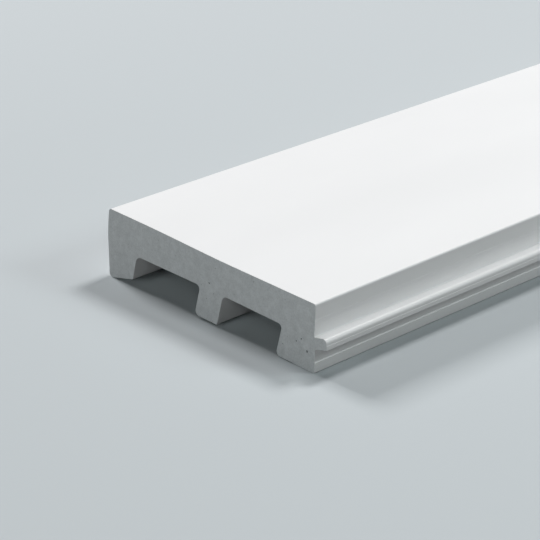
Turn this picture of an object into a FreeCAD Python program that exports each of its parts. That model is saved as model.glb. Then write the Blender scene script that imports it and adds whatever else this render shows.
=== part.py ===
import FreeCAD, Part
import math
import os

# A window sill board of rigid foamed PVC, in millimetres.
# It is one extruded bar with a very shallow dish in its deck, on three feet that run its whole length.
# X runs along the bar. The nose, with its drip edge, is at +Y, and the hooked tongue is at -Y.
# Z is up from the drip edge, the lowest line of the bar.
# The channel walls lean by the pitch that the sill is laid at, so that they then stand plumb.
# Each height is above the plane that the feet stand on.

# The bar as a whole
BOARD_LENGTH = 1219.2
BODY_DEPTH = 117.9
BOARD_THICKNESS = 27.6
LAYING_PITCH = 15.0

# The deck, which has sunk a little over the middle foot as it cooled and falls away to the nose
DECK_FRONT_RADIUS = 0.8
DISH_PLACE = 52.0
DISH_HEIGHT = 27.1
DISH_RADIUS = 600.0
CROWN_PLACE = 90.0
CROWN_RADIUS = 1200.0
NOSE_TOP_HEIGHT = 27.4
NOSE_TOP_RADIUS = 1.5

# The nose, which leans back towards the deck and, less, towards its drip edge
NOSE_LEAN = 1.35
NOSE_WIDEST_HEIGHT = 18.2
NOSE_BLEND_RADIUS = 70.0
NOSE_UNDERCUT_ANGLE = 0.55
DRIP_DROP = 2.0
DRIP_RADIUS = 1.6

# The feet, each as wide as it is on the plane that the feet stand on
NOSE_FOOT_WIDTH = 14.35
MIDDLE_FOOT_WIDTH = 12.8
FRONT_FOOT_WIDTH = 20.7
MIDDLE_FOOT_PLACE = 53.2
FOOT_HEEL_RADIUS = 1.7
FOOT_TOE_RADIUS = 0.6

# The ceilings of the two channels, with the radius at each of their corners
FRONT_CHANNEL_HEIGHT = 13.3
NOSE_CHANNEL_HEIGHT = 13.05
NOSE_CHANNEL_OUTER_HEIGHT = 12.3
NOSE_FOOT_CEILING_RADIUS = 3.8
MIDDLE_FOOT_NOSE_CEILING_RADIUS = 1.7
MIDDLE_FOOT_FRONT_CEILING_RADIUS = 3.0
FRONT_FOOT_CEILING_RADIUS = 1.7

# The front face, which steps back below the band under the deck and again above the front foot
UPPER_STEP_HEIGHT = 21.45
UPPER_STEP = 0.4
FACE_SWELL_HEIGHT = 19.6
FACE_SETBACK = 0.2
FACE_SWELL_RADIUS = 6.0
TONGUE_ROOT_SETBACK = 0.5
LOWER_BAND_PROUD = 0.15
LEDGE_TOP_HEIGHT = 4.4
LEDGE_TOP_SETBACK = 0.55
LEDGE_EDGE_HEIGHT = 4.1
LOWER_FACE_SETBACK = 0.2

# The tongue, whose top rises to a rounded hook
TONGUE_REACH = 5.9
TONGUE_ROOT_HEIGHT = 14.4
TONGUE_ROOT_BOTTOM_HEIGHT = 9.9
HOOK_CORNER_HEIGHT = 15.85
HOOK_RADIUS = 1.9
TIP_STEP_HEIGHT = 12.95
TIP_STEP = 0.1
TIP_BOTTOM_HEIGHT = 11.35
TIP_BOTTOM_RADIUS = 0.3
ROOT_RADIUS = 0.4

SLOPE = math.tan(math.radians(LAYING_PITCH))
FOOT_PLANE = DRIP_DROP
DECK_TOP = FOOT_PLANE + BOARD_THICKNESS
FRONT_Y = (TONGUE_REACH - BODY_DEPTH) / 2
NOSE_Y = FRONT_Y + BODY_DEPTH
BAND_Y = FRONT_Y - LOWER_BAND_PROUD
TIP_Y = FRONT_Y - TONGUE_REACH


def wall_y(y_on_foot_plane, z):
    """Where a channel wall stands at the height z: it leans to the front as it rises."""
    return y_on_foot_plane - (z - FOOT_PLANE) * SLOPE


def deck():
    """The deck from its front edge over the dish and the crown to the nose."""
    return [
        (FRONT_Y, DECK_TOP, DECK_FRONT_RADIUS),
        (FRONT_Y + DISH_PLACE, FOOT_PLANE + DISH_HEIGHT, DISH_RADIUS),
        (FRONT_Y + CROWN_PLACE, DECK_TOP, CROWN_RADIUS),
        (NOSE_Y - NOSE_LEAN, FOOT_PLANE + NOSE_TOP_HEIGHT, NOSE_TOP_RADIUS),
    ]


def nose():
    """The nose face, down to its drip edge, whose rounding just reaches the height 0."""
    pitch = math.radians(LAYING_PITCH)
    undercut = math.radians(NOSE_UNDERCUT_ANGLE)
    widest_z = FOOT_PLANE + NOSE_WIDEST_HEIGHT
    drip_z = DRIP_RADIUS * (1 - (math.cos(undercut) + math.sin(pitch)) / math.cos(pitch - undercut))
    drip_y = NOSE_Y - (widest_z - drip_z) * math.tan(undercut)
    return [
        (NOSE_Y, widest_z, NOSE_BLEND_RADIUS),
        (drip_y, drip_z, DRIP_RADIUS),
    ]


def nose_foot(drip_corner):
    """The inner edge of the nose foot, whose underside rises from the drip corner by the pitch."""
    inner_wall_y = NOSE_Y - NOSE_FOOT_WIDTH
    drip_y, drip_z, _ = drip_corner
    # The underside and the wall meet where both lines have the same height
    toe_z = (drip_z + (drip_y - inner_wall_y - FOOT_PLANE * SLOPE) * SLOPE) / (1 - SLOPE ** 2)
    ceiling_z = FOOT_PLANE + NOSE_CHANNEL_OUTER_HEIGHT
    return [
        (wall_y(inner_wall_y, toe_z), toe_z, FOOT_TOE_RADIUS),
        (wall_y(inner_wall_y, ceiling_z), ceiling_z, NOSE_FOOT_CEILING_RADIUS),
    ]


def middle_foot():
    """The middle foot, between the nose channel's ceiling and the front channel's."""
    front_wall_y = FRONT_Y + MIDDLE_FOOT_PLACE
    nose_wall_y = front_wall_y + MIDDLE_FOOT_WIDTH
    nose_ceiling_z = FOOT_PLANE + NOSE_CHANNEL_HEIGHT
    front_ceiling_z = FOOT_PLANE + FRONT_CHANNEL_HEIGHT
    return [
        (wall_y(nose_wall_y, nose_ceiling_z), nose_ceiling_z, MIDDLE_FOOT_NOSE_CEILING_RADIUS),
        (nose_wall_y, FOOT_PLANE, FOOT_HEEL_RADIUS),
        (front_wall_y, FOOT_PLANE, FOOT_TOE_RADIUS),
        (wall_y(front_wall_y, front_ceiling_z), front_ceiling_z, MIDDLE_FOOT_FRONT_CEILING_RADIUS),
    ]


def front_foot():
    """The front foot, with its underside and the toe of its outer face."""
    heel_y = FRONT_Y + FRONT_FOOT_WIDTH
    ceiling_z = FOOT_PLANE + FRONT_CHANNEL_HEIGHT
    return [
        (wall_y(heel_y, ceiling_z), ceiling_z, FRONT_FOOT_CEILING_RADIUS),
        (heel_y, FOOT_PLANE, FOOT_HEEL_RADIUS),
        (FRONT_Y + LOWER_FACE_SETBACK, FOOT_PLANE, FOOT_TOE_RADIUS),
    ]


def lower_step():
    """The ledge above the front foot's outer face. The wall above it slopes out to the tongue's root."""
    return [
        (FRONT_Y + LOWER_FACE_SETBACK, FOOT_PLANE + LEDGE_EDGE_HEIGHT, 0),
        (FRONT_Y + LEDGE_TOP_SETBACK, FOOT_PLANE + LEDGE_TOP_HEIGHT, 0),
    ]


def tongue():
    """The hooked tongue: its underside falls to the root, and its top rises to the hook."""
    tip_step_z = FOOT_PLANE + TIP_STEP_HEIGHT
    hook_y = TIP_Y + TIP_STEP
    return [
        (BAND_Y, FOOT_PLANE + TONGUE_ROOT_BOTTOM_HEIGHT, ROOT_RADIUS),
        (TIP_Y, FOOT_PLANE + TIP_BOTTOM_HEIGHT, TIP_BOTTOM_RADIUS),
        (TIP_Y, tip_step_z, 0),
        (hook_y, tip_step_z + TIP_STEP, 0),
        (hook_y, FOOT_PLANE + HOOK_CORNER_HEIGHT, HOOK_RADIUS),
        (FRONT_Y + TONGUE_ROOT_SETBACK, FOOT_PLANE + TONGUE_ROOT_HEIGHT, ROOT_RADIUS),
    ]


def upper_step():
    """The slight swell of the face, and the step up from it to the band under the deck's front edge."""
    step_z = FOOT_PLANE + UPPER_STEP_HEIGHT
    return [
        (FRONT_Y + FACE_SETBACK, FOOT_PLANE + FACE_SWELL_HEIGHT, FACE_SWELL_RADIUS),
        (FRONT_Y + UPPER_STEP, step_z, 0),
        (FRONT_Y, step_z, 0),
    ]


def outline():
    """The corners of the section, in order, each with the radius that rounds it."""
    deck_and_nose = deck() + nose()
    feet = nose_foot(deck_and_nose[-1]) + middle_foot() + front_foot()
    return deck_and_nose + feet + lower_step() + tongue() + upper_step()


def rounded_wire(corners):
    """A closed wire through the corners, in the plane X = 0, with a tangent arc at each rounded one."""
    starts = []
    edges = []
    points = [FreeCAD.Vector(0, y, z) for y, z, _ in corners]
    for place, (point, (_, _, radius)) in enumerate(zip(points, corners)):
        to_last = (points[place - 1] - point).normalize()
        to_next = (points[(place + 1) % len(points)] - point).normalize()
        if radius == 0:
            starts.append((point, point))
            continue
        half_angle = to_last.getAngle(to_next) / 2
        reach = radius / math.tan(half_angle)
        inwards = (to_last + to_next).normalize()
        to_arc = radius / math.sin(half_angle) - radius
        arc = Part.Arc(point + to_last * reach, point + inwards * to_arc, point + to_next * reach)
        edges.append((place, arc.toShape()))
        starts.append((point + to_last * reach, point + to_next * reach))
    for place, (_, leaving) in enumerate(starts):
        arriving = starts[(place + 1) % len(starts)][0]
        edges.append((place + 0.5, Part.LineSegment(leaving, arriving).toShape()))
    return Part.Wire([edge for _, edge in sorted(edges, key=lambda numbered: numbered[0])])


def sill_board():
    """The section, extruded over the whole length and cut square at both ends."""
    section = Part.Face(rounded_wire(outline()))
    bar = section.extrude(FreeCAD.Vector(BOARD_LENGTH, 0, 0))
    bar.translate(FreeCAD.Vector(-BOARD_LENGTH / 2, 0, 0))
    return bar


def main():
    os.makedirs("parts", exist_ok=True)
    board = sill_board()
    board.exportStep("parts/sill_board.step")
    box = board.BoundBox
    print("size", round(box.XLength, 2), round(box.YLength, 2), round(box.ZLength, 2))
    print("lowest", round(box.ZMin, 3), "volume cm3", round(board.Volume / 1000, 1), "valid", board.isValid())


main()
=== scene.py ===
from math import cos, radians, sin, tan

import bmesh
import bpy
from mathutils import Matrix, Vector


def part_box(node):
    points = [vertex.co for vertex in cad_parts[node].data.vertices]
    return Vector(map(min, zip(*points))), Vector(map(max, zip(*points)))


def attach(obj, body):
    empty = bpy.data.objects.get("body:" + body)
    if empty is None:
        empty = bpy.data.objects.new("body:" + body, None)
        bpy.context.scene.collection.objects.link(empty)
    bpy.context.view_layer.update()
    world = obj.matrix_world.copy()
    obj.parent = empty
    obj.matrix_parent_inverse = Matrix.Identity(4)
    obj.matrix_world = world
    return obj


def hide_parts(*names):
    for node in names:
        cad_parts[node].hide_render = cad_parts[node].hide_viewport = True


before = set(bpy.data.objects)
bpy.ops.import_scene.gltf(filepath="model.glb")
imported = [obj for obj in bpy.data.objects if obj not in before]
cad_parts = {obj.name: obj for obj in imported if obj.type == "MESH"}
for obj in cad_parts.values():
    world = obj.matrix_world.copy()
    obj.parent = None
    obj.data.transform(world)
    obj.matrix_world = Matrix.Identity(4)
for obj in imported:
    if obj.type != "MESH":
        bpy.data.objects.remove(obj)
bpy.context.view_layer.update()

bl_info = {
    "name": "Window sill board",
    "version": (1, 0, 0),
    "blender": (4, 5, 0),
    "location": "3D View > Sidebar > Sill board",
    "description": "Builds a foamed PVC window sill board and the studio it is shown in",
    "category": "Object",
}

BOARD_LOW, BOARD_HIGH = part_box("sill_board")
MM = 0.001

# The faces this near an end are sawn foam, which is deeper than the largest pore
SAWN_DEPTH = 2.0 * MM
# The turn of the surface at which it has an arris
ARRIS_ANGLE = radians(20.0)
# Points nearer than this are merged
MERGE_DISTANCE = 0.001 * MM
# More than the spacing of the pores allows, so that the spacing alone sets their number
PORE_DENSITY = 1.0e7
# The floor's half width in metres, and how far below the board it lies
FLOOR_HALF_WIDTH = 20.0
FLOOR_GAP = 0.02 * MM

# What the lamps face, in the part of the board that the camera sees, near its end at -X
LAMP_TARGET = Vector((-0.5, 0.0, 0.015))
# Where each lamp hangs: azimuth from -Y towards +X and elevation in degrees, distance and size in metres
LAMP_PLACES = {
    "far_lamp": (90.0, 60.0, 2.4, 0.6),
    "back_lamp": (180.0, 40.0, 2.4, 0.6),
    "side_lamp": (30.0, 35.0, 1.1, 0.3),
    "near_side_lamp": (-45.0, 28.0, 1.8, 0.5),
    "end_lamp": (-90.0, 20.0, 1.8, 0.5),
}


# Sizes and colours that a user would change

def length(name, default_mm, description):
    return bpy.props.FloatProperty(name=name, description=description, default=default_mm * MM, min=0.0,
                                   unit="LENGTH", subtype="DISTANCE", precision=5)


def tint(name, default, description):
    return bpy.props.FloatVectorProperty(name=name, description=description, default=default, size=3,
                                         min=0.0, max=1.0, subtype="COLOR")


def share(name, default, description):
    return bpy.props.FloatProperty(name=name, description=description, default=default, min=0.0, max=1.0,
                                   subtype="FACTOR")


def power(name, default, description):
    return bpy.props.FloatProperty(name=name, description=description, default=default, min=0.0,
                                   unit="POWER")


class SillSection(bpy.types.PropertyGroup):
    """The board's length and every size of its section."""

    board_length: length("Length", (BOARD_HIGH[0] - BOARD_LOW[0]) / MM, "Sawn length of the board")
    body_depth: length("Depth", 117.9, "From the band under the deck's front edge to the nose")
    thickness: length("Thickness", 27.6, "From the underside of the feet to the deck's front edge")
    pitch: bpy.props.FloatProperty(name="Pitch", description="Lean of the channel walls and of the drip",
                                   default=radians(15.0), subtype="ANGLE")
    deck_front_radius: length("Deck's front radius", 0.8, "Radius of the deck's front arris")
    dish_place: length("Dish place", 52.0, "From the front edge to the lowest line of the deck")
    dish_height: length("Dish height", 27.1, "Height of the deck there")
    dish_radius: length("Dish radius", 600.0, "Radius between the two slopes of the dish")
    crown_place: length("Crown place", 90.0, "From the front edge to the highest line by the nose")
    crown_radius: length("Crown radius", 1200.0, "Radius of the deck there")
    nose_top_height: length("Nose top height", 27.4, "Height of the deck at the nose")
    nose_top_radius: length("Nose top radius", 1.5, "Radius of the deck's arris at the nose")
    nose_lean: length("Nose lean", 1.35, "How far the nose leans back at the deck")
    nose_widest_height: length("Nose's widest height", 18.2, "Height of the line where it stands out most")
    nose_blend_radius: length("Nose blend radius", 70.0, "Radius between the nose's two parts")
    nose_undercut: bpy.props.FloatProperty(name="Nose undercut", default=radians(0.55), subtype="ANGLE",
                                           description="Lean of the nose's lower part")
    drip_drop: length("Drip drop", 2.0, "How far the drip edge is below the feet")
    drip_radius: length("Drip radius", 1.6, "Radius of the drip edge")
    nose_foot_width: length("Nose foot width", 14.35, "Width on the plane that the feet stand on")
    middle_foot_width: length("Middle foot width", 12.8, "Width on the plane that the feet stand on")
    front_foot_width: length("Front foot width", 20.7, "Width on the plane that the feet stand on")
    middle_foot_place: length("Middle foot place", 53.2, "From the band's face to the middle foot")
    heel_radius: length("Heel radius", 1.7, "Radius of a foot's corner on the nose side")
    toe_radius: length("Toe radius", 0.6, "Radius of a foot's corner on the tongue side")
    front_channel: length("Front channel height", 13.3, "Height of the front channel's ceiling")
    nose_channel: length("Nose channel height", 13.05, "Height of its ceiling at the middle foot")
    nose_channel_outer: length("Outer height", 12.3, "Height of that ceiling at the nose foot")
    nose_foot_ceiling: length("Nose foot ceiling radius", 3.8, "Radius of the ceiling's corner there")
    middle_foot_nose_ceiling: length("Middle foot ceiling radius, nose side", 1.7, "The same there")
    middle_foot_front_ceiling: length("Middle foot ceiling radius, front side", 3.0, "The same there")
    front_foot_ceiling: length("Front foot ceiling radius", 1.7, "The same there")
    upper_step_height: length("Upper step height", 21.45, "Height of the edge under the deck's band")
    upper_step: length("Upper step", 0.4, "How far the face is set back under that edge")
    step_bevel_height: length("Step bevel height", 21.1, "Height of the lower edge of the bevel below it")
    step_bevel: length("Step bevel", 0.16, "Width of that bevel")
    face_swell_height: length("Face swell height", 19.6, "Height of the line where it stands out most")
    face_setback: length("Face setback", 0.2, "How far that line is behind the band")
    face_swell_radius: length("Face swell radius", 6.0, "Radius of the face there")
    root_setback: length("Root setback", 0.5, "How far the tongue's upper root is behind the band")
    lower_band_proud: length("Lower band", 0.15, "How far the tongue's lower root stands out from the band")
    ledge_top_height: length("Ledge top height", 4.4, "Height of the ledge's inner edge")
    ledge_top_setback: length("Ledge top setback", 0.55, "How far that edge is behind the band")
    ledge_edge_height: length("Ledge edge height", 4.1, "Height of the ledge's outer edge")
    lower_face_setback: length("Lower face setback", 0.2, "How far the face below is behind the band")
    tongue_reach: length("Tongue reach", 5.9, "How far the tongue stands out from the band")
    tongue_root_height: length("Tongue root height", 14.4, "Height of the tongue's top at its root")
    tongue_root_bottom: length("Tongue root bottom", 9.9, "Height of its underside at its root")
    hook_corner_height: length("Hook corner height", 15.95, "Height of the hook's corner before rounding")
    hook_radius: length("Hook radius", 1.6, "Radius of the hook")
    tip_step_height: length("Tip step height", 13.1, "Height of the small ledge on the tip")
    tip_step: length("Tip step", 0.08, "How far the hook's face is set back above that ledge")
    tip_bottom_height: length("Tip bottom height", 11.35, "Height of the tip's bottom edge")
    tip_bottom_radius: length("Tip bottom radius", 0.3, "Radius of that edge")
    root_radius: length("Root radius", 0.4, "Radius at the tongue's two roots")
    arc_step: bpy.props.FloatProperty(name="Arc step", description="Turn of each facet of an arc",
                                      default=radians(7.0), subtype="ANGLE")


class SillPores(bpy.types.PropertyGroup):
    """The open cells that the saw leaves in both ends."""

    spacing: length("Spacing", 2.2, "Least distance between two pores")
    smallest: length("Smallest radius", 0.06, "Radius of the smallest pores")
    largest: length("Largest radius", 0.20, "Radius of the largest of the scattered pores")
    stretch: bpy.props.FloatProperty(name="Stretch", default=2.5, min=1.0,
                                     description="How much longer a pore is along the board")
    skin: length("Skin", 0.9, "Depth of the dense skin, which has no pores")
    seed: bpy.props.IntProperty(name="Seed", description="Seed of the scatter", default=11)


class SillFinish(bpy.types.PropertyGroup):
    """Colours and gloss of the extruded skin and of the sawn foam, with the painted shade in the foam's
    pores and fine cells.
    """

    skin_colour: tint("Skin colour", (0.885, 0.885, 0.888), "Colour of the extruded skin")
    # Darker and cooler than the skin: partly the sawn foam's own duller tone, partly painted shade that
    # darkens the sawn ends
    foam_colour: tint("Foam colour", (0.795, 0.82, 0.835), "Colour of the sawn foam")
    # Painted shade: how dark the foam is drawn deep in a pore, standing in for the shadow inside the open
    # cell
    pore_shade: share("Pore shade", 0.38, "Brightness of the foam deep in a pore")
    skin_roughness: share("Skin roughness", 0.36, "Roughness of the extruded skin")
    foam_roughness: share("Foam roughness", 0.82, "Roughness of the sawn foam")


class SillStudio(bpy.types.PropertyGroup):
    """The floor, the lamps and the camera."""

    floor_colour: tint("Floor colour", (0.56, 0.60, 0.62), "Colour of the floor as it is seen")
    floor_bounce: share("Floor bounce", 0.25, "Brightness of the floor in the light that it throws back")
    sky_colour: tint("Sky colour", (0.96, 0.99, 1.0), "Colour of the light from all around")
    sky_strength: bpy.props.FloatProperty(name="Sky strength", description="Light from all around",
                                          default=0.0, min=0.0)
    far_power: power("Far lamp", 28.4, "Power of the lamp above the far part of the board")
    back_power: power("Back lamp", 35.7, "Power of the lamp on the nose side")
    side_power: power("Side lamp", 2.98, "Power of the lamp on the tongue's side")
    near_side_power: power("Near side lamp", 2.75, "Power of the lamp off the near corner of that side")
    end_power: power("End lamp", 3.75, "Power of the lamp off the near end")
    top_colour: tint("Top light colour", (1.0, 0.985, 0.985), "Colour of the far lamp and the back lamp")
    side_colour: tint("Side light colour", (0.92, 1.0, 1.0), "Colour of the other three lamps")
    lens: bpy.props.FloatProperty(name="Lens", description="Focal length in millimetres, on a 36 mm sensor",
                                  default=138.67, min=1.0)


def settings():
    scene = bpy.context.scene
    return scene.sill_section, scene.sill_pores, scene.sill_finish, scene.sill_studio


# The section of the board, as corners (y, z, radius) in order

def section_corners(s):
    """The corners of the section, each with the radius that rounds it."""
    slope = tan(s.pitch)
    foot_z = s.drip_drop
    deck_z = foot_z + s.thickness
    front_y = (s.tongue_reach - s.body_depth) / 2
    nose_y = front_y + s.body_depth
    band_y = front_y - s.lower_band_proud
    tip_y = front_y - s.tongue_reach

    def wall(y_on_foot_plane, height, radius):
        return y_on_foot_plane - height * slope, foot_z + height, radius

    deck = [
        (front_y, deck_z, s.deck_front_radius),
        (front_y + s.dish_place, foot_z + s.dish_height, s.dish_radius),
        (front_y + s.crown_place, deck_z, s.crown_radius),
        (nose_y - s.nose_lean, foot_z + s.nose_top_height, s.nose_top_radius),
    ]
    widest_z = foot_z + s.nose_widest_height
    drip_z = s.drip_radius * (1 - (cos(s.nose_undercut) + sin(s.pitch)) / cos(s.pitch - s.nose_undercut))
    drip_y = nose_y - (widest_z - drip_z) * tan(s.nose_undercut)
    inner_y = nose_y - s.nose_foot_width
    toe_z = (drip_z + (drip_y - inner_y - foot_z * slope) * slope) / (1 - slope ** 2)
    nose = [
        (nose_y, widest_z, s.nose_blend_radius),
        (drip_y, drip_z, s.drip_radius),
        wall(inner_y, toe_z - foot_z, s.toe_radius),
        wall(inner_y, s.nose_channel_outer, s.nose_foot_ceiling),
    ]
    middle_y = front_y + s.middle_foot_place
    middle_foot = [
        wall(middle_y + s.middle_foot_width, s.nose_channel, s.middle_foot_nose_ceiling),
        wall(middle_y + s.middle_foot_width, 0.0, s.heel_radius),
        wall(middle_y, 0.0, s.toe_radius),
        wall(middle_y, s.front_channel, s.middle_foot_front_ceiling),
    ]
    front_foot = [
        wall(front_y + s.front_foot_width, s.front_channel, s.front_foot_ceiling),
        wall(front_y + s.front_foot_width, 0.0, s.heel_radius),
        (front_y + s.lower_face_setback, foot_z, s.toe_radius),
    ]
    lower_step = [
        (front_y + s.lower_face_setback, foot_z + s.ledge_edge_height, 0.0),
        (front_y + s.ledge_top_setback, foot_z + s.ledge_top_height, 0.0),
    ]
    tongue = [
        (band_y, foot_z + s.tongue_root_bottom, s.root_radius),
        (tip_y, foot_z + s.tip_bottom_height, s.tip_bottom_radius),
        (tip_y, foot_z + s.tip_step_height, 0.0),
        (tip_y + s.tip_step, foot_z + s.tip_step_height + s.tip_step, 0.0),
        (tip_y + s.tip_step, foot_z + s.hook_corner_height, s.hook_radius),
        (front_y + s.root_setback, foot_z + s.tongue_root_height, s.root_radius),
    ]
    upper_step = [
        (front_y + s.face_setback, foot_z + s.face_swell_height, s.face_swell_radius),
        (front_y + s.upper_step - s.step_bevel, foot_z + s.step_bevel_height, 0.0),
        (front_y + s.upper_step, foot_z + s.upper_step_height, 0.0),
        (front_y, foot_z + s.upper_step_height, 0.0),
    ]
    return deck + nose + middle_foot + front_foot + lower_step + tongue + upper_step


def rounded_outline(corners, arc_step):
    """The closed outline through the corners, as points, with a tangent arc at each rounded one."""
    outline = []
    spots = [Vector(corner[:2]) for corner in corners]
    for place, (spot, (_, _, radius)) in enumerate(zip(spots, corners)):
        to_last = (spots[place - 1] - spot).normalized()
        to_next = (spots[(place + 1) % len(spots)] - spot).normalized()
        if radius == 0.0:
            outline.append(spot)
            continue
        half_angle = to_last.angle(to_next) / 2
        start = spot + to_last * radius / tan(half_angle)
        centre = spot + (to_last + to_next).normalized() * radius / sin(half_angle)
        turn = (start - centre).angle_signed(spot + to_next * radius / tan(half_angle) - centre)
        facets = max(3, round(abs(turn) / arc_step))
        for step in range(facets + 1):
            outline.append(centre + Matrix.Rotation(-turn * step / facets, 2) @ (start - centre))
    return outline


# Larger pores that the photograph shows on the near end, as (y, z, radius) in millimetres
OPEN_PORES = [
    (-51.8, 9.4, 0.50),
    (-46.2, 11.6, 0.32),
    (-48.8, 13.4, 0.34),
    (-38.9, 7.7, 0.24),
    (1.4, 17.85, 0.34),
]


def section_mesh(s):
    """The section as one face at the near end, with a loose point for each of the larger pores."""
    near_x = -s.board_length / 2
    mesh = bpy.data.meshes.new("sill_section")
    bm = bmesh.new()
    pore_radius = bm.verts.layers.float.new("pore_radius")
    ring = [bm.verts.new((near_x, y, z)) for y, z in rounded_outline(section_corners(s), s.arc_step)]
    face = bm.faces.new(ring)
    face.normal_update()
    if face.normal.x < 0:
        face.normal_flip()
    for y, z, radius in OPEN_PORES:
        pore = bm.verts.new((near_x, y * MM, z * MM))
        pore[pore_radius] = radius * MM
    bm.to_mesh(mesh)
    bm.free()
    return mesh


# Node trees

class Tree:
    """A short way to add nodes and links to one tree."""

    def __init__(self, tree):
        self.nodes = tree.nodes
        self.links = tree.links

    def add(self, kind, inputs=None, **settings_of_node):
        node = self.nodes.new(kind)
        for key, value in settings_of_node.items():
            setattr(node, key, value)
        for key, value in (inputs or {}).items():
            self.join(value, node.inputs[key])
        return node

    def join(self, value, socket):
        if isinstance(value, bpy.types.NodeSocket):
            self.links.new(value, socket)
        else:
            socket.default_value = value

    def maths(self, operation, *values):
        node = self.add("ShaderNodeMath", operation=operation)
        for value, socket in zip(values, node.inputs):
            self.join(value, socket)
        return node.outputs[0]


def new_socket(tree, name, kind, default=None):
    socket = tree.interface.new_socket(name, in_out="INPUT", socket_type=kind)
    if default is not None:
        socket.default_value = default
    return socket.identifier


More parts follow.
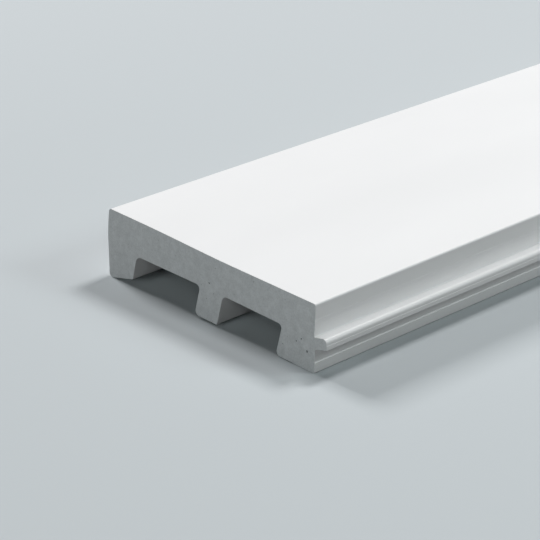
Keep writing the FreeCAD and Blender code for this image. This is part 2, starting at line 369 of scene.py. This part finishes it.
def board_tree():
    """Nodes that extrude the section, saw both ends square and open the foam's cells there."""
    tree = bpy.data.node_groups.new("Sill board", "GeometryNodeTree")
    names = {
        "section": new_socket(tree, "Section", "NodeSocketGeometry"),
        "length": new_socket(tree, "Length", "NodeSocketFloat", 1.2),
        "spacing": new_socket(tree, "Pore spacing", "NodeSocketFloat", 0.002),
        "smallest": new_socket(tree, "Smallest pore", "NodeSocketFloat", 0.0001),
        "largest": new_socket(tree, "Largest pore", "NodeSocketFloat", 0.0003),
        "stretch": new_socket(tree, "Pore stretch", "NodeSocketFloat", 2.0),
        "skin": new_socket(tree, "Skin depth", "NodeSocketFloat", 0.001),
        "seed": new_socket(tree, "Seed", "NodeSocketInt", 1),
        "skin_material": new_socket(tree, "Skin", "NodeSocketMaterial"),
        "foam_material": new_socket(tree, "Sawn foam", "NodeSocketMaterial"),
    }
    tree.interface.new_socket("Board", in_out="OUTPUT", socket_type="NodeSocketGeometry")
    t = Tree(tree)
    given = t.add("NodeGroupInput").outputs

    # The section's face goes one way, and the larger pores' points the other
    radius = t.add("GeometryNodeInputNamedAttribute", {"Name": "pore_radius"}, data_type="FLOAT")
    is_pore = t.add("FunctionNodeCompare", {"A": radius.outputs["Attribute"], "B": 0.0},
                    data_type="FLOAT", operation="GREATER_THAN")
    parted = t.add("GeometryNodeSeparateGeometry", {"Geometry": given["Section"],
                                                    "Selection": is_pore.outputs["Result"]}, domain="POINT")
    section = parted.outputs["Inverted"]

    # The bar: the section extruded, and closed by its own turned copy
    along = t.add("ShaderNodeCombineXYZ", {"X": given["Length"]})
    pulled = t.add("GeometryNodeExtrudeMesh", {"Mesh": section, "Offset": along.outputs[0],
                                               "Offset Scale": 1.0, "Individual": False}, mode="FACES")
    turned = t.add("GeometryNodeFlipFaces", {"Mesh": section})
    both = t.add("GeometryNodeJoinGeometry")
    t.links.new(turned.outputs[0], both.inputs[0])
    t.links.new(pulled.outputs["Mesh"], both.inputs[0])
    bar = t.add("GeometryNodeMergeByDistance", {"Geometry": both.outputs[0],
                                                     "Distance": MERGE_DISTANCE})

    # Cells, scattered over each end inside the skin
    ball = t.add("GeometryNodeMeshIcoSphere", {"Radius": 1.0, "Subdivisions": 2})
    longer = t.add("ShaderNodeCombineXYZ", {"X": given["Pore stretch"], "Y": 1.0, "Z": 1.0})
    cell = t.add("GeometryNodeTransform", {"Geometry": ball.outputs["Mesh"], "Scale": longer.outputs[0]})
    cells = t.add("GeometryNodeJoinGeometry")
    for end in (0, 1):
        seed = t.maths("ADD", given["Seed"], float(end))
        spots = t.add("GeometryNodeDistributePointsOnFaces",
                      {"Mesh": section, "Distance Min": given["Pore spacing"],
                       "Density Max": PORE_DENSITY, "Density Factor": 1.0, "Seed": seed},
                      distribute_method="POISSON")
        edge = t.add("GeometryNodeProximity", {"Geometry": section}, target_element="EDGES")
        in_skin = t.add("FunctionNodeCompare", {"A": edge.outputs["Distance"], "B": given["Skin depth"]},
                        data_type="FLOAT", operation="LESS_THAN")
        kept = t.add("GeometryNodeDeleteGeometry", {"Geometry": spots.outputs["Points"],
                                                    "Selection": in_skin.outputs["Result"]}, domain="POINT")
        if end == 0:
            near_open = t.add("GeometryNodeProximity", {"Geometry": parted.outputs["Selection"]},
                              target_element="POINTS")
            too_near = t.add("FunctionNodeCompare", {"A": near_open.outputs["Distance"],
                                                     "B": given["Skin depth"]},
                             data_type="FLOAT", operation="LESS_THAN")
            kept = t.add("GeometryNodeDeleteGeometry", {"Geometry": kept.outputs[0],
                                                        "Selection": too_near.outputs["Result"]},
                         domain="POINT")
        chance = t.add("FunctionNodeRandomValue", {"Seed": t.maths("ADD", seed, 7.0)}, data_type="FLOAT")
        size = t.add("ShaderNodeMapRange", {"Value": t.maths("POWER", chance.outputs["Value"], 3.0),
                                            "To Min": given["Smallest pore"],
                                            "To Max": given["Largest pore"]})
        squash = t.add("FunctionNodeRandomValue", {"Min": (0.7, 0.8, 0.8), "Max": (1.0, 1.25, 1.25),
                                                   "Seed": t.maths("ADD", seed, 13.0)},
                       data_type="FLOAT_VECTOR")
        scale = t.add("ShaderNodeVectorMath", operation="SCALE")
        t.join(squash.outputs["Value"], scale.inputs[0])
        t.join(size.outputs["Result"], scale.inputs["Scale"])
        grown = t.add("GeometryNodeInstanceOnPoints", {"Points": kept.outputs[0],
                                                       "Instance": cell.outputs[0],
                                                       "Scale": scale.outputs[0]})
        placed = t.add("GeometryNodeTransform", {"Geometry": grown.outputs[0]})
        if end == 1:
            t.join(along.outputs[0], placed.inputs["Translation"])
        t.links.new(placed.outputs[0], cells.inputs[0])
    open_points = t.add("GeometryNodeMeshToPoints", {"Mesh": parted.outputs["Selection"]})
    opened = t.add("GeometryNodeInstanceOnPoints", {"Points": open_points.outputs[0],
                                                    "Instance": cell.outputs[0],
                                                    "Scale": radius.outputs["Attribute"]})
    t.links.new(opened.outputs[0], cells.inputs[0])
    solid_cells = t.add("GeometryNodeRealizeInstances", {"Geometry": cells.outputs[0]})
    sawn = t.add("GeometryNodeMeshBoolean", operation="DIFFERENCE", solver="MANIFOLD")
    t.links.new(bar.outputs[0], sawn.inputs["Mesh 1"])
    t.links.new(solid_cells.outputs[0], sawn.inputs["Mesh 2"])

    # Smooth faces, with an arris wherever the surface turns sharply
    smooth = t.add("GeometryNodeSetShadeSmooth", {"Geometry": sawn.outputs["Mesh"], "Shade Smooth": True},
                   domain="FACE")
    turn = t.add("GeometryNodeInputMeshEdgeAngle")
    is_arris = t.add("FunctionNodeCompare", {"A": turn.outputs["Unsigned Angle"], "B": ARRIS_ANGLE},
                     data_type="FLOAT", operation="GREATER_THAN")
    crisp = t.add("GeometryNodeSetShadeSmooth", {"Geometry": smooth.outputs[0],
                                                 "Selection": is_arris.outputs["Result"],
                                                 "Shade Smooth": False}, domain="EDGE")

    # The ends and their cells are sawn foam, and the rest is skin
    place = t.add("ShaderNodeSeparateXYZ", {"Vector": t.add("GeometryNodeInputPosition").outputs[0]})
    foam_start = t.maths("SUBTRACT", t.maths("MULTIPLY", given["Length"], 0.5), SAWN_DEPTH)
    is_end = t.add("FunctionNodeCompare", {"A": t.maths("ABSOLUTE", place.outputs["X"]), "B": foam_start},
                   data_type="FLOAT", operation="GREATER_THAN")
    real = t.add("GeometryNodeRealizeInstances", {"Geometry": crisp.outputs[0]})
    skin = t.add("GeometryNodeSetMaterial", {"Geometry": real.outputs[0], "Material": given["Skin"]})
    ends = t.add("GeometryNodeSetMaterial", {"Geometry": skin.outputs[0],
                                             "Selection": is_end.outputs["Result"],
                                             "Material": given["Sawn foam"]})
    t.add("NodeGroupOutput", {"Board": ends.outputs[0]})
    return tree, names


# Finishes

def new_material(name, colour):
    material = bpy.data.materials.new(name)
    material.use_nodes = True
    material.diffuse_color = (*colour, 1.0)
    t = Tree(material.node_tree)
    t.nodes.clear()
    shader = t.add("ShaderNodeBsdfPrincipled")
    t.add("ShaderNodeOutputMaterial", {"Surface": shader.outputs[0]})
    coordinates = t.add("ShaderNodeTexCoord").outputs["Object"]
    return material, t, shader, coordinates


def stretched(t, coordinates, scale):
    """Object coordinates, scaled along each axis, so that a pattern's size is given in repeats a metre."""
    return t.add("ShaderNodeMapping", {"Vector": coordinates, "Scale": scale},
                 vector_type="POINT").outputs[0]


def noise(t, coordinates, scale, detail=2.0, roughness=0.5):
    return t.add("ShaderNodeTexNoise", {"Vector": stretched(t, coordinates, scale), "Scale": 1.0,
                                        "Detail": detail, "Roughness": roughness}).outputs["Fac"]


def ranged(t, value, low, high):
    """A noise value of about 0.3 to 0.7, spread over low to high."""
    return t.add("ShaderNodeMapRange", {"Value": value, "From Min": 0.3, "From Max": 0.7,
                                        "To Min": low, "To Max": high}, clamp=True).outputs["Result"]


def shaded(t, colour, factor):
    """The colour, multiplied by the factor."""
    mixed = t.add("ShaderNodeMix", data_type="RGBA", blend_type="MULTIPLY")
    grey = t.add("ShaderNodeCombineColor", {"Red": factor, "Green": factor, "Blue": factor})
    mixed.inputs["Factor"].default_value = 1.0
    mixed.inputs["A"].default_value = (*colour, 1.0)
    t.links.new(grey.outputs[0], mixed.inputs["B"])
    return mixed.outputs["Result"]


def bump(t, height, distance, under=None):
    """A normal that follows a height, where 1 is the distance, over the normal that is given."""
    node = t.add("ShaderNodeBump", {"Strength": 1.0, "Distance": distance, "Height": height})
    if under is not None:
        t.links.new(under, node.inputs["Normal"])
    return node.outputs[0]


def skin_material(finish):
    """Satin white extruded skin, with faint die lines along the board and a slight orange peel."""
    material, t, shader, at = new_material("extruded_skin", finish.skin_colour)
    cloud = noise(t, at, (9.0, 22.0, 22.0), detail=3.0)
    t.join(shaded(t, finish.skin_colour, ranged(t, cloud, 0.988, 1.012)), shader.inputs["Base Color"])
    lines = noise(t, at, (1.5, 900.0, 900.0), detail=3.0, roughness=0.6)
    peel = noise(t, at, (260.0, 420.0, 420.0), detail=2.0)
    rough = t.maths("ADD", ranged(t, cloud, -0.03, 0.03), ranged(t, lines, -0.04, 0.04))
    t.join(t.maths("ADD", rough, finish.skin_roughness), shader.inputs["Roughness"])
    t.join(bump(t, lines, 0.012 * MM, under=bump(t, peel, 0.010 * MM)), shader.inputs["Normal"])
    shader.inputs["IOR"].default_value = 1.53
    return material


def foam_material(finish, board_length):
    """Matte sawn foam: fine cells with painted shade in their pits, a cloudy mottle, faint saw marks, and
    painted shade that darkens the pores with depth.
    """
    # The foam's base colour is partly painted shade for the sawn ends
    material, t, shader, at = new_material("sawn_foam", finish.foam_colour)
    cloud = noise(t, at, (70.0, 70.0, 70.0), detail=2.0)
    mottle = noise(t, at, (300.0, 300.0, 300.0), detail=4.0, roughness=0.6)
    grain = noise(t, at, (1500.0, 1500.0, 1500.0), detail=2.0, roughness=0.6)
    cells = t.add("ShaderNodeTexVoronoi", {"Vector": at, "Scale": 3200.0}, feature="F1").outputs["Distance"]
    # Painted shade: the foam is drawn up to a tenth darker at the pit of each fine cell, for the shade in
    # it
    painted_cell_shade = t.add("ShaderNodeMapRange", {"Value": cells, "From Min": 0.0, "From Max": 0.35,
                                              "To Min": 0.90, "To Max": 1.0}, clamp=True).outputs["Result"]
    shade = t.maths("MULTIPLY", ranged(t, mottle, 0.93, 1.07), ranged(t, grain, 0.94, 1.06))
    shade = t.maths("MULTIPLY", shade, ranged(t, cloud, 0.985, 1.015))
    # Painted shade: the foam is drawn darker the deeper it lies in a pore, for the shadow inside the cell
    from_middle = t.maths("ABSOLUTE", t.add("ShaderNodeSeparateXYZ", {"Vector": at}).outputs["X"])
    depth = t.maths("SUBTRACT", board_length / 2, from_middle)
    pore_shade = t.add("ShaderNodeMapRange", {"Value": depth, "From Min": 0.03 * MM, "From Max": 0.3 * MM,
                                              "To Min": 1.0, "To Max": finish.pore_shade},
                       clamp=True).outputs["Result"]
    shade = t.maths("MULTIPLY", shade, pore_shade)
    t.join(shaded(t, finish.foam_colour, t.maths("MULTIPLY", shade, painted_cell_shade)),
           shader.inputs["Base Color"])
    marks = noise(t, at, (1.0, 45.0, 1400.0), detail=2.0)
    t.join(t.maths("ADD", ranged(t, grain, -0.06, 0.06), finish.foam_roughness),
           shader.inputs["Roughness"])
    rough_cut = bump(t, cells, 0.06 * MM, under=bump(t, grain, 0.05 * MM))
    t.join(bump(t, marks, 0.03 * MM, under=rough_cut), shader.inputs["Normal"])
    shader.inputs["IOR"].default_value = 1.45
    shader.inputs["Specular IOR Level"].default_value = 0.3
    return material


def floor_material(studio):
    """Plain pale matte floor, which throws less light back than its looks say."""
    material, t, shader, at = new_material("floor", studio.floor_colour)
    cloud = noise(t, at, (0.7, 0.7, 0.7), detail=2.0)
    seen_colour = shaded(t, studio.floor_colour, ranged(t, cloud, 0.995, 1.005))
    bounce = studio.floor_bounce
    mixed = t.add("ShaderNodeMix", data_type="RGBA")
    t.join(directly_seen(t), mixed.inputs["Factor"])
    mixed.inputs["A"].default_value = (bounce, bounce, bounce, 1.0)
    t.links.new(seen_colour, mixed.inputs["B"])
    t.join(mixed.outputs["Result"], shader.inputs["Base Color"])
    shader.inputs["Roughness"].default_value = 0.95
    shader.inputs["Specular IOR Level"].default_value = 0.1
    return material


def directly_seen(t):
    """One for a ray from the camera, a reflection or a refraction, and none for scattered light."""
    path = t.add("ShaderNodeLightPath").outputs
    seen = t.maths("ADD", path["Is Camera Ray"], path["Is Glossy Ray"])
    return t.maths("MINIMUM", t.maths("ADD", seen, path["Is Transmission Ray"]), 1.0)


# Operators

class SILL_OT_board(bpy.types.Operator):
    """Make the sill board: the extruded section, sawn at both ends"""

    bl_idname = "sill.board"
    bl_label = "Make the sill board"
    bl_options = {"REGISTER", "UNDO"}

    def execute(self, context):
        section, pores, finish, _ = settings()
        board = bpy.data.objects.new("sill_board_body", section_mesh(section))
        context.scene.collection.objects.link(board)
        tree, names = board_tree()
        grown = board.modifiers.new("Board", "NODES")
        grown.node_group = tree
        grown[names["length"]] = section.board_length
        grown[names["spacing"]] = pores.spacing
        grown[names["smallest"]] = pores.smallest
        grown[names["largest"]] = pores.largest
        grown[names["stretch"]] = pores.stretch
        grown[names["skin"]] = pores.skin
        grown[names["seed"]] = pores.seed
        grown[names["skin_material"]] = skin_material(finish)
        grown[names["foam_material"]] = foam_material(finish, section.board_length)
        shading = board.modifiers.new("Flat faces stay flat", "WEIGHTED_NORMAL")
        shading.keep_sharp = True
        shading.weight = 100
        evaluated = board.evaluated_get(context.evaluated_depsgraph_get())
        finished = bpy.data.meshes.new_from_object(evaluated)
        finished.name = "sill_board_body"
        board.modifiers.clear()
        board.data = finished
        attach(board, "root")
        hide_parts("sill_board")
        return {"FINISHED"}


class SILL_OT_studio(bpy.types.Operator):
    """Set up the floor, the lamps, the light from all around and the camera"""

    bl_idname = "sill.studio"
    bl_label = "Set up the studio"
    bl_options = {"REGISTER", "UNDO"}

    def execute(self, context):
        section, _, _, studio = settings()
        scene = context.scene
        scene.view_settings.view_transform = "Standard"
        self.lay_floor(scene, section, studio)
        self.hang_lamp(scene, "far_lamp", studio.far_power, studio.top_colour)
        self.hang_lamp(scene, "back_lamp", studio.back_power, studio.top_colour)
        self.hang_lamp(scene, "side_lamp", studio.side_power, studio.side_colour)
        self.hang_lamp(scene, "near_side_lamp", studio.near_side_power, studio.side_colour)
        self.hang_lamp(scene, "end_lamp", studio.end_power, studio.side_colour)
        self.light_all_around(scene, studio)
        self.place_camera(scene, section, studio)
        return {"FINISHED"}

    def lay_floor(self, scene, section, studio):
        """The floor touches both the drip edge and the front foot, so the board rests on it."""
        front_y = (section.tongue_reach - section.body_depth) / 2
        nose_y = front_y + section.body_depth
        toe_y = front_y + section.lower_face_setback + section.toe_radius
        drip_y = nose_y - section.drip_radius
        fall = section.drip_drop / (drip_y - toe_y)
        half = FLOOR_HALF_WIDTH
        mesh = bpy.data.meshes.new("floor")
        corners = [(x, y, (drip_y - y) * fall - FLOOR_GAP) for x, y in
                   ((-half, -half), (half, -half), (half, half), (-half, half))]
        mesh.from_pydata(corners, [], [(0, 1, 2, 3)])
        floor = bpy.data.objects.new("floor", mesh)
        mesh.materials.append(floor_material(studio))
        scene.collection.objects.link(floor)

    def hang_lamp(self, scene, name, power, colour):
        """A soft square lamp at its place, turned to what the lamps face."""
        azimuth, elevation, distance, size = LAMP_PLACES[name]
        light = bpy.data.lights.new(name, "AREA")
        light.size = size
        light.energy = power
        light.color = colour
        lamp = bpy.data.objects.new(name, light)
        along, up = radians(azimuth), radians(elevation)
        direction = Vector((sin(along) * cos(up), -cos(along) * cos(up), sin(up)))
        lamp.location = LAMP_TARGET + direction * distance
        lamp.rotation_euler = (-direction).to_track_quat("-Z", "Y").to_euler()
        scene.collection.objects.link(lamp)

    def light_all_around(self, scene, studio):
        world = bpy.data.worlds.new("studio")
        world.use_nodes = True
        t = Tree(world.node_tree)
        t.nodes.clear()
        sky = t.add("ShaderNodeBackground", {"Color": (*studio.sky_colour, 1.0),
                                             "Strength": studio.sky_strength})
        backdrop = t.add("ShaderNodeBackground", {"Color": (*studio.floor_colour, 1.0), "Strength": 1.0})
        mixed = t.add("ShaderNodeMixShader", {0: directly_seen(t), 1: sky.outputs[0],
                                              2: backdrop.outputs[0]})
        t.add("ShaderNodeOutputWorld", {"Surface": mixed.outputs[0]})
        scene.world = world

    def place_camera(self, scene, section, studio):
        """The photograph's viewpoint: the near front corner of the deck is 731 mm from the lens."""
        front_y = (section.tongue_reach - section.body_depth) / 2
        corner = Vector((-section.board_length / 2, front_y, section.drip_drop + section.thickness))
        right = Vector((0.7393, -0.6731, 0.0))
        down = Vector((-0.2837, -0.3117, -0.9068))
        ahead = Vector((0.6102, 0.6705, -0.4216))
        away = right * 0.0160 + down * 0.0120 + ahead * 0.7304
        camera = bpy.data.objects.new("camera", bpy.data.cameras.new("camera"))
        camera.data.sensor_width = 36.0
        camera.data.lens = studio.lens
        camera.data.clip_start = 0.01
        camera.data.clip_end = 200.0
        turned = Matrix((right, -down, -ahead)).transposed()
        camera.matrix_world = Matrix.Translation(corner - away) @ turned.to_4x4()
        scene.collection.objects.link(camera)
        scene.camera = camera


class SILL_PT_panel(bpy.types.Panel):
    """The sill board's operators and sizes"""

    bl_idname = "SILL_PT_panel"
    bl_label = "Sill board"
    bl_space_type = "VIEW_3D"
    bl_region_type = "UI"
    bl_category = "Sill board"

    def draw(self, context):
        layout = self.layout
        for operator in (SILL_OT_board, SILL_OT_studio):
            layout.operator(operator.bl_idname)
        for group in settings():
            box = layout.box()
            for name in group.bl_rna.properties.keys():
                if name not in {"rna_type", "name"}:
                    box.prop(group, name)


CLASSES = (SillSection, SillPores, SillFinish, SillStudio, SILL_OT_board, SILL_OT_studio, SILL_PT_panel)


def register():
    for cls in CLASSES:
        bpy.utils.register_class(cls)
    bpy.types.Scene.sill_section = bpy.props.PointerProperty(type=SillSection)
    bpy.types.Scene.sill_pores = bpy.props.PointerProperty(type=SillPores)
    bpy.types.Scene.sill_finish = bpy.props.PointerProperty(type=SillFinish)
    bpy.types.Scene.sill_studio = bpy.props.PointerProperty(type=SillStudio)


def unregister():
    for name in ("sill_section", "sill_pores", "sill_finish", "sill_studio"):
        delattr(bpy.types.Scene, name)
    for cls in reversed(CLASSES):
        bpy.utils.unregister_class(cls)


def main():
    register()
    bpy.ops.sill.board()
    bpy.ops.sill.studio()


if __name__ == "__main__":
    main()
